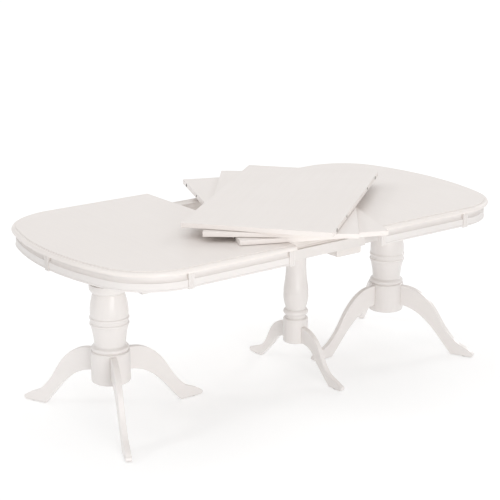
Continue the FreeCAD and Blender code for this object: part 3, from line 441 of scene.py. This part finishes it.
def darker(colour, factor):
    """The same colour, each of its parts times a factor."""
    return tuple(factor * part for part in colour[:3]) + (1,)


def plated(name, stretch, colour, dull):
    """Zinc-plated steel with fine marks along one way, a few duller patches and painted shade in its
    hollows.
    """
    material, tree, shader, place = new_material(name)
    marks = group_node(tree, fibre_group, {"Vector": place, "Stretch": stretch})
    relief = group_node(tree, relief_group, {"Width": 0.0006, "Reach": 0.004})
    shade = blend_colour(tree, scaled(tree, marks.outputs["Drift"], 0.0, 0.6), colour, darker(colour, 0.72))
    # Hollows darkened: painted shade.
    shade = blend_colour(tree, scaled(tree, relief.outputs["Hollow"], 0.0, 0.7), shade, STEEL_HOLLOW_SHADE)
    rough = scaled(tree, marks.outputs["Streak"], dull - 0.1, dull + 0.2)
    dress(tree, shader, shade, rough, marks.outputs["Streak"], relief, strength=0.2, depth=0.0001)
    shader.inputs["Metallic"].default_value = 1.0
    return material


def moulded(name, colour, dull):
    """Moulded nylon: even colour with faint flow marks and a fine orange-peel surface."""
    material, tree, shader, place = new_material(name)
    relief = group_node(tree, relief_group, {"Width": 0.0005, "Reach": 0.003})
    flow = add_node(tree, "ShaderNodeTexNoise", {"Vector": place, "Scale": 60.0, "Detail": 3.0})
    peel = add_node(tree, "ShaderNodeTexNoise", {"Vector": place, "Scale": 900.0, "Detail": 1.0})
    shade = blend_colour(tree, scaled(tree, flow.outputs[0], -0.2, 0.9), colour, darker(colour, 0.82))
    shade = blend_colour(tree, scaled(tree, relief.outputs["Edge"], 0.0, 0.4), shade, colour)
    rough = scaled(tree, flow.outputs[0], dull - 0.08, dull + 0.08)
    dress(tree, shader, shade, rough, peel.outputs[0], relief, strength=0.25, depth=0.0002)
    return material


post_finish = plated("post_steel", (4.0, 4.0, 900.0), ZINC, 0.28)
screw_finish = plated("screw_steel", (300.0, 300.0, 300.0), YELLOW_ZINC, 0.32)
ring_finish = moulded("slip_ring", WHITE_NYLON, 0.45)
glide_finish = moulded("glide_nylon", BROWN_NYLON, 0.5)
bush_finish = moulded("bush_nylon", BLACK_NYLON_AND_HOLE_SHADE, 0.45)
print("steel and nylon:", [made.name for made in (post_finish, screw_finish, ring_finish, glide_finish,
                                                  bush_finish)])

# %% [markdown]
# ## Finish the CAD pieces
# Each CAD node keeps its shape and only gets a material. The name of a node says what it is, so the
# finish is picked by the words in it. A list of all the nodes would do the same, but it would be longer
# and easier to get wrong.

# %% Finish the CAD pieces


def finish_of(name):
    """The material for a CAD node, from the words in its name."""
    if name.startswith("leaf_"):
        return ring_finish if name.endswith("_ring") else leaf_finish[name.split("_")[1]]
    for words, material in ((("_top",), top_finish), (("dowels",), beech_finish),
                            (("glides",), glide_finish), (("post",), post_finish),
                            (("slide",), slide_finish), (("block",), block_finish),
                            (("bearer", "beam", "cradle"), frame_finish),
                            (("apron", "curve"), rail_finish), (("column",), turned_finish),
                            (("leg",), leg_finish)):
        if any(word in name for word in words):
            return material
    raise KeyError(name)


for name, node in nodes.items():
    node.data.materials.clear()
    node.data.materials.append(finish_of(name))
print("finished", len(nodes), "CAD pieces")

# %% [markdown]
# ## Working by hand in edit mode
# The small parts are modelled as at the bench: a primitive is added, opened in edit mode and shaped with
# the usual tools. A few helpers keep that short. They select faces by where those look, draw a face out
# as a turner cuts the next shoulder, close a finished shape, copy it to its places and hang it on a body.
# A repeated part is modelled once, and its copies are joined to one piece for each body.

# %% Bench helpers
MILLIMETRE = 0.001
DOUBLES = 0.00001
HALF_OPENING = 0.225


def add_piece(add, name, **options):
    """Adds a primitive with nothing else selected, opens it in edit mode and names it."""
    bpy.ops.object.select_all(action="DESELECT")
    add(**options)
    piece = bpy.context.object
    piece.name = name
    bpy.ops.object.mode_set(mode="EDIT")
    bpy.ops.mesh.select_mode(type="FACE")
    return piece


def pick_faces(piece, test):
    """Selects the faces whose middle and normal pass a test, and stays in edit mode."""
    bpy.ops.mesh.select_all(action="DESELECT")
    shell = bmesh.from_edit_mesh(piece.data)
    for face in shell.faces:
        if test(piece.matrix_world @ face.calc_center_median(), face.normal):
            face.select_set(True)
    bmesh.update_edit_mesh(piece.data)


def draw_out(shift, factors=(1, 1, 1)):
    """Extrudes what is selected by a shift, and scales the new end along each axis."""
    bpy.ops.mesh.extrude_region_move(TRANSFORM_OT_translate={"value": shift})
    bpy.ops.transform.resize(value=factors)


def turn_up(shoulders):
    """Draws out one shoulder after the other, as a turner cuts them: a rise along Z, a new width."""
    for rise, factor in shoulders:
        draw_out((0, 0, rise), (factor, factor, 1))


def close_shape(piece, finish, angle=30):
    """Merges doubles, turns the normals out, moves the place into the mesh and gives the finish."""
    if piece.mode == "EDIT":
        bpy.ops.mesh.select_all(action="SELECT")
        bpy.ops.mesh.remove_doubles(threshold=DOUBLES)
        bpy.ops.mesh.normals_make_consistent(inside=False)
        bpy.ops.object.mode_set(mode="OBJECT")
    bpy.ops.object.transform_apply(location=True, rotation=True, scale=True)
    bpy.ops.object.shade_smooth_by_angle(angle=math.radians(angle))
    piece.data.materials.clear()
    piece.data.materials.append(finish)


def spot(x, y, z, turn=0.0):
    """The matrix of a place, with a turn about Z in radians."""
    return Matrix.Translation((x, y, z)) @ Matrix.Rotation(turn, 4, "Z")


def copies_at(pattern, places, name, body):
    """Copies a closed shape to its places, joins the copies to one piece and hangs it on its body."""
    copies = []
    for place in places:
        copy = pattern.copy()
        copy.data = pattern.data.copy()
        copy.data.transform(place)
        scene.collection.objects.link(copy)
        copies.append(copy)
    bpy.ops.object.select_all(action="DESELECT")
    for copy in copies:
        copy.select_set(True)
    bpy.context.view_layer.objects.active = copies[0]
    if len(copies) > 1:
        bpy.ops.object.join()
    piece = bpy.context.object
    piece.name = name
    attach(piece, body)
    print(name, len(places), "on", body)
    return piece


def in_half(side, places):
    """Places in a half's own frame, brought to the table: the left half is the right one turned round."""
    seat = spot(HALF_OPENING, AXIS_Y, 0) if side == "right" else spot(-HALF_OPENING, AXIS_Y, 0, math.pi)
    return [seat @ place for place in places]


print("bench helpers ready")

# %% [markdown]
# ## Glue blocks
# Behind the rails, short pine blocks are rubbed into the corner between rail and top with hot glue. Each
# is a stick sawn corner to corner, with its arrises broken. One is cut from a cube by a bisecting plane,
# and copies stand along the straight rails and, turned to face the curve, round the bent ones: each curve
# is a centre, the radius of the rail's back and the turns of its blocks. They are why a rail only twenty
# millimetres thick stays square to the top.

# %% Glue blocks
BLOCK_LEG = 0.022
BLOCK_STRETCH = 1.7
BLOCK_ARRIS = 0.0012
UNDERSIDE = 0.738
RAIL_BACK = 0.4975
RAIL_BLOCKS_AT = (0.11, 0.25, 0.39)
CORNER_CURVE = (0.495, 0.2635, 0.2331, (34, 54, 74))
END_CURVE = (-0.3529, 0.0, 1.1214, (5, 11))

block = add_piece(bpy.ops.mesh.primitive_cube_add, "glue_block", size=BLOCK_LEG,
                  location=(0, -BLOCK_LEG / 2, -BLOCK_LEG / 2))
bpy.ops.transform.resize(value=(BLOCK_STRETCH, 1, 1))
bpy.ops.mesh.bisect(plane_co=(0, -BLOCK_LEG, 0), plane_no=(0, -1, -1), use_fill=True, clear_outer=True)
bpy.ops.mesh.select_all(action="SELECT")
bpy.ops.mesh.bevel(offset=BLOCK_ARRIS, segments=2, affect="EDGES")
close_shape(block, block_pine)

block_places = []
for way in (-1, 1):
    for x in RAIL_BLOCKS_AT:
        block_places.append(spot(x, way * RAIL_BACK, UNDERSIDE, 0 if way > 0 else math.pi))
    for centre_x, centre_y, back, turns in (CORNER_CURVE, END_CURVE):
        for angle in map(math.radians, turns):
            block_places.append(spot(centre_x + back * math.cos(angle),
                                     way * (centre_y + back * math.sin(angle)), UNDERSIDE,
                                     way * angle - math.pi / 2))
for side in ("left", "right"):
    copies_at(block, in_half(side, block_places), f"{side}_glue_blocks", f"{side}_half")
bpy.data.objects.remove(block)

# %% [markdown]
# ## Slotted screws
# Screws hold the slides to the tops, the bearer to the slides and the cradle plates to their cheeks. All
# of them are driven from below, so a head is a disc that is stepped down and drawn in like a turned knob,
# with its slot cut by a Boolean: a slot of extruded faces would need a cap that is divided to suit it. The
# slots stand at odd angles, as screws stop where they grip.

# %% Slotted screws
HEAD_RADIUS = 0.0045
HEAD_SHOULDERS = ((-0.0010, 1.0), (-0.0008, 0.93), (-0.0006, 0.78), (-0.0003, 0.55))
HEAD_SINK = 0.0003
SLOT_SIZE = (12, 1.2, 2.4)
SLOT_LEVEL = -0.0025
SLIDE_BOTTOM = 0.648
SLIDE_SCREWS_AT = (0.10, 0.25, 0.40, 0.56)
LANE_MIDDLE = {"left": 0.388, "right": 0.339}
PLATE_BOTTOM = 0.648
PLATE_SCREWS_AT = (-0.1, 0.0, 0.1)
CHEEK_MIDDLE = 0.314
PEDESTAL_X = 0.5223
MIDDLE_X = 0.178
BEARER_BOTTOM = 0.612
BEARER_SCREWS_AT = ((-0.045, 0.005), (0.0, -0.005), (0.045, 0.005))
ODD_TURN = 47

screw = add_piece(bpy.ops.mesh.primitive_circle_add, "screw", vertices=20, radius=HEAD_RADIUS,
                  fill_type="NGON", location=(0, 0, HEAD_SINK))
turn_up(HEAD_SHOULDERS)
bpy.ops.object.mode_set(mode="OBJECT")
blade = add_piece(bpy.ops.mesh.primitive_cube_add, "slot_blade", size=MILLIMETRE,
                  location=(0, 0, SLOT_LEVEL))
bpy.ops.transform.resize(value=SLOT_SIZE)
bpy.ops.object.mode_set(mode="OBJECT")
bpy.ops.object.select_all(action="DESELECT")
screw.select_set(True)
bpy.context.view_layer.objects.active = screw
cut = screw.modifiers.new("slot", "BOOLEAN")
cut.object = blade
cut.solver = "EXACT"
bpy.ops.object.modifier_apply(modifier=cut.name)
bpy.data.objects.remove(blade)
close_shape(screw, screw_finish)


def odd(places):
    """The same places, each with a turn that differs from its neighbour's and never changes."""
    return [place @ Matrix.Rotation(math.radians(ODD_TURN * number % 180), 4, "Z")
            for number, place in enumerate(places)]


between_lanes = sum(LANE_MIDDLE.values()) / 2
bearer_spots = [spot(MIDDLE_X + along, AXIS_Y + way * between_lanes + across, BEARER_BOTTOM)
                for way in (-1, 1) for along, across in BEARER_SCREWS_AT]
copies_at(screw, odd(bearer_spots), "bearer_screws", "centre_frame")
for side in ("left", "right"):
    spots = [spot(x, way * LANE_MIDDLE[side], SLIDE_BOTTOM)
             for way in (-1, 1) for x in SLIDE_SCREWS_AT]
    spots += [spot(PEDESTAL_X + along, way * CHEEK_MIDDLE, PLATE_BOTTOM)
              for way in (-1, 1) for along in PLATE_SCREWS_AT]
    copies_at(screw, odd(in_half(side, spots)), f"{side}_screws", f"{side}_half")

# %% [markdown]
# ## Post flange
# The swivel post stands in a turned steel flange that is screwed down on its beam, so that three stacked
# leaves can't rock it. The ring is one rim of edges, stepped up, drawn in to a hub and stepped down again
# inside, where it meets its start. Spinning a drawn section gives the same ring, but the steps keep each
# radius in plain sight. Three screws hold it.

# %% Post flange
POST_X = -0.019
POST_Y = AXIS_Y - 0.073
BEAM_TOP = 0.664
FLANGE_RADIUS = 0.036
FLANGE_FACE = 0.0028
FLANGE_BORE = 0.0203
HUB_RADIUS = 0.0235
RIM_ARRIS = 0.98
HUB_TAPER = 0.985
HUB_ARRIS = 0.970
SCREW_CIRCLE = 0.0295
FLANGE_SCREW_TURNS = (40, 160, 280)

flange = add_piece(bpy.ops.mesh.primitive_circle_add, "post_flange", vertices=64, radius=FLANGE_RADIUS,
                   fill_type="NOTHING", location=(POST_X, POST_Y, BEAM_TOP))
bpy.ops.mesh.select_mode(type="EDGE")
bpy.ops.mesh.select_all(action="SELECT")
turn_up(((0.0020, 1.0), (0.0006, RIM_ARRIS), (0.0002, HUB_RADIUS / FLANGE_RADIUS / RIM_ARRIS),
         (0.0040, HUB_TAPER), (0.0006, HUB_ARRIS),
         (0.0, FLANGE_BORE / (HUB_RADIUS * HUB_TAPER * HUB_ARRIS)), (-0.0074, 1.0),
         (0.0, FLANGE_RADIUS / FLANGE_BORE)))
close_shape(flange, post_finish)
copies_at(flange, [Matrix.Identity(4)], "post_flange_ring", "centre_frame")
bpy.data.objects.remove(flange)
flange_screws = []
for angle in map(math.radians, FLANGE_SCREW_TURNS):
    seat = spot(POST_X + SCREW_CIRCLE * math.cos(angle), POST_Y + SCREW_CIRCLE * math.sin(angle),
                BEAM_TOP + FLANGE_FACE, angle)
    flange_screws.append(seat @ Matrix.Rotation(math.pi, 4, "X"))
copies_at(screw, flange_screws, "flange_screws", "centre_frame")

# %% [markdown]
# ## Table locks
# When the table is closed, two sash locks under the tops draw the halves together. A plate carries a
# turned pivot with a tapering lever, whose thumb tab is bent down, and a keeper with a raised lip waits on
# the other half. The lever grows from one side of the pivot by extruding a few of its faces outwards, so
# that both are one casting, as on the real lock.

# %% Table locks
LOCK_X = 0.034
KEEPER_X = 0.014
LOCK_Y = 0.430
PLATE_SIZE = (46, 22, 1.8)
PLATE_THICKNESS = 0.0018
LOCK_ARRIS = 0.0007
PIVOT_RADIUS = 0.0090
PIVOT_START = -0.0016
PIVOT_SHOULDERS = ((-0.0022, 1.0), (0.0, 0.86), (-0.0030, 1.0), (-0.0008, 0.90), (0.0, 0.5),
                   (-0.0012, 0.92))
LEVER_TOP, LEVER_BOTTOM = -0.0040, -0.0068
LEVER_RUNS = (((0.016, 0.003, 0), (0.2, 0.9, 0.8)), ((0.012, 0.005, 0), (1, 1.5, 0.9)),
              ((0.005, 0.002, -0.006), (1, 1.15, 1)))
KEEPER_SIZE = (20, 26, 1.6)
KEEPER_THICKNESS = 0.0016
KEEPER_ARRIS = 0.0005
LIP_MARGIN = 0.0045
LIP_SLENDER = (0.35, 1, 1)
LIP_RUNS = ((0.002, 0, -0.004), (0.004, 0, -0.0012))
LOCK_SCREW_OUT = 0.018

lock = add_piece(bpy.ops.mesh.primitive_cube_add, "table_lock", size=MILLIMETRE,
                 location=(0, 0, -PLATE_THICKNESS / 2))
bpy.ops.transform.resize(value=PLATE_SIZE)
bpy.ops.mesh.bevel(offset=LOCK_ARRIS, segments=2, affect="EDGES")
bpy.ops.mesh.primitive_circle_add(vertices=24, radius=PIVOT_RADIUS, fill_type="NGON",
                                  location=(0, 0, PIVOT_START))
turn_up(PIVOT_SHOULDERS)
pick_faces(lock, lambda middle, normal: normal.x > 0.85 and LEVER_BOTTOM < middle.z < LEVER_TOP)
for shift, factors in LEVER_RUNS:
    draw_out(shift, factors)
close_shape(lock, post_finish)

keeper = add_piece(bpy.ops.mesh.primitive_cube_add, "lock_keeper", size=MILLIMETRE,
                   location=(0, 0, -KEEPER_THICKNESS / 2))
bpy.ops.transform.resize(value=KEEPER_SIZE)
pick_faces(keeper, lambda middle, normal: normal.z < -0.9)
bpy.ops.mesh.inset(thickness=LIP_MARGIN)
bpy.ops.transform.resize(value=LIP_SLENDER)
for shift in LIP_RUNS:
    draw_out(shift)
bpy.ops.mesh.select_all(action="SELECT")
bpy.ops.mesh.bevel(offset=KEEPER_ARRIS, segments=2, affect="EDGES")
close_shape(keeper, post_finish)

pair = [spot(LOCK_X, way * LOCK_Y, UNDERSIDE, math.pi / 2 * way) for way in (-1, 1)]
copies_at(lock, in_half("right", pair), "table_locks", "right_half")
keeper_pair = [spot(KEEPER_X, way * LOCK_Y, UNDERSIDE, math.pi) for way in (-1, 1)]
copies_at(keeper, in_half("left", keeper_pair), "lock_keepers", "left_half")
lock_screws = [spot(LOCK_X, way * LOCK_Y + end * LOCK_SCREW_OUT, UNDERSIDE - PLATE_THICKNESS)
               for way in (-1, 1) for end in (-1, 1)]
copies_at(screw, odd(in_half("right", lock_screws)), "lock_screws", "right_half")
for finished in (lock, keeper, screw):
    bpy.data.objects.remove(finished)

# %% [markdown]
# ## Dowel bushes
# The joint edges of the leaves and tops hold dowels when the table is laid. Each hole is lined with a dark
# nylon bush whose thin collar shows as a small dark ring on the pale edge; the outer holes have the wider
# ones. The bush's near-black is partly its nylon and partly painted shade inside the hole. The bush is a
# closed cup: a disc stepped up to the collar, drawn in to the lip and stepped down again inside. Its copies
# look outwards.

# %% Dowel bushes
WIDE_COLLAR = 0.0080
SMALL_COLLAR = 0.0056
COLLAR_ARRIS = 0.96
HOLE_RADIUS = 0.00418
LIP_RADIUS = 0.0046
LINER_RADIUS = 0.0041
LINER_DEPTH = 0.0182
OUTER_ROW = (-0.455, 0.455)
INNER_ROW = (-0.245, 0.245)
LEAF_EDGES = (-0.227, 0.373)
LEAF_CENTRE = 0.073
LEAF_MIDDLES = {"low": 0.769, "middle": 0.790, "top": 0.811}
TOP_MIDDLE = 0.748


def dowel_bush(collar):
    """A bush that looks along +Z, with its collar at zero and its closed cup below."""
    bush = add_piece(bpy.ops.mesh.primitive_circle_add, "dowel_bush", vertices=28, radius=HOLE_RADIUS,
                     fill_type="NGON", location=(0, 0, -LINER_DEPTH))
    turn_up(((LINER_DEPTH - 0.0001, 1.0), (0.0, collar / HOLE_RADIUS), (0.0004, 1.0),
             (0.0002, COLLAR_ARRIS), (0.0, LIP_RADIUS / (COLLAR_ARRIS * collar)),
             (-0.0008, LINER_RADIUS / LIP_RADIUS), (0.0005 - LINER_DEPTH, 1.0)))
    close_shape(bush, bush_finish)
    return bush


outwards = Matrix.Rotation(math.pi / 2, 4, "Y")
for collar, row, word in ((WIDE_COLLAR, OUTER_ROW, "outer"), (SMALL_COLLAR, INNER_ROW, "inner")):
    bush = dowel_bush(collar)
    for name, height in LEAF_MIDDLES.items():
        leaf_seat = spot(POST_X, POST_Y, height, math.radians(LEAF_TURNS[name]))
        places = [leaf_seat @ spot(edge, LEAF_CENTRE + across, 0, math.pi if edge < 0 else 0) @ outwards
                  for edge in LEAF_EDGES for across in row]
        copies_at(bush, places, f"leaf_{name}_{word}_bushes", f"leaf_{name}")
    for side in ("left", "right"):
        places = [spot(0, across, TOP_MIDDLE, math.pi) @ outwards for across in row]
        copies_at(bush, in_half(side, places), f"{side}_{word}_bushes", f"{side}_half")
    bpy.data.objects.remove(bush)

# %% [markdown]
# ## Fluted dowels
# Four loose beech dowels wait in the right half's joint edge. A bought dowel has pressed flutes, which let
# the glue or the air out, and a chamfer at each end. Every second side face is inset and pushed in, which
# is quicker than cutting twelve grooves and leaves one closed shell. They stand for the frame's plain pins.

# %% Fluted dowels
DOWEL_SIDES = 24
DOWEL_RADIUS = 0.0040
DOWEL_LENGTH = 0.029
DOWEL_REACH = 0.012
DOWEL_TIP = 0.80
CHAMFER = 0.0010
FLUTE_MARGIN = 0.00018
FLUTE_DEPTH = 0.94


def fluted(middle, normal):
    """True for every second side face."""
    side = round(math.degrees(math.atan2(normal.y, normal.x)) * DOWEL_SIDES / 360 - 0.5)
    return abs(normal.z) < 0.1 and side % 2 == 0


dowel = add_piece(bpy.ops.mesh.primitive_circle_add, "fluted_dowel", vertices=DOWEL_SIDES,
                  radius=DOWEL_RADIUS * DOWEL_TIP, fill_type="NGON",
                  location=(0, 0, DOWEL_REACH - DOWEL_LENGTH))
turn_up(((CHAMFER, 1 / DOWEL_TIP), (DOWEL_LENGTH - 2 * CHAMFER, 1.0), (CHAMFER, DOWEL_TIP)))
pick_faces(dowel, fluted)
bpy.ops.mesh.inset(thickness=FLUTE_MARGIN, use_individual=True)
bpy.ops.transform.resize(value=(FLUTE_DEPTH, FLUTE_DEPTH, 1))
close_shape(dowel, beech_finish, angle=25)
places = [spot(0, across, TOP_MIDDLE, math.pi) @ outwards for across in OUTER_ROW + INNER_ROW]
dowels = copies_at(dowel, in_half("right", places), "fluted_dowels", "right_half")
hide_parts("right_dowels")
bpy.data.objects.remove(dowel)

# %% [markdown]
# ## Floor glides
# Each toe stands on a small turned glide: a nylon cushion that bulges a little under load, with the nail's
# head sunk in the middle. It is stepped down from the toe as the screw heads are, and stands for the plain
# disc of the frame.

# %% Floor glides
GLIDE_RADIUS = 0.010
GLIDE_HEIGHT = 0.003
GLIDE_NECK = 0.97
GLIDE_SHOULDERS = ((-0.0006, 1.03), (-0.0012, 1.0), (-0.0008, 0.96), (-0.0004, 0.88), (0.0, 0.40),
                   (0.0006, 0.90), (0.0, 0.72), (-0.0003, 0.80))
MIDDLE_SEAT = (MIDDLE_X, AXIS_Y - 0.035)
TOE_OUT = 0.395
MIDDLE_TOE_OUT = 0.275
LEG_TURNS = (-66.5, 66.5, 180.0)

glide = add_piece(bpy.ops.mesh.primitive_circle_add, "glide", vertices=32, radius=GLIDE_RADIUS * GLIDE_NECK,
                  fill_type="NGON", location=(0, 0, GLIDE_HEIGHT))
turn_up(GLIDE_SHOULDERS)
close_shape(glide, glide_finish)
toes = [spot(PEDESTAL_X + TOE_OUT * math.cos(angle), TOE_OUT * math.sin(angle), 0)
        for angle in map(math.radians, LEG_TURNS)]
for side in ("left", "right"):
    group = copies_at(glide, in_half(side, toes), f"{side}_turned_glides", f"{side}_half")
    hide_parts(f"{side}_glides")
middle_toes = [spot(MIDDLE_SEAT[0], MIDDLE_SEAT[1] + way * MIDDLE_TOE_OUT, 0) for way in (-1, 1)]
group = copies_at(glide, middle_toes, "middle_turned_glides", "centre_frame")
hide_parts("middle_glides")
bpy.data.objects.remove(glide)
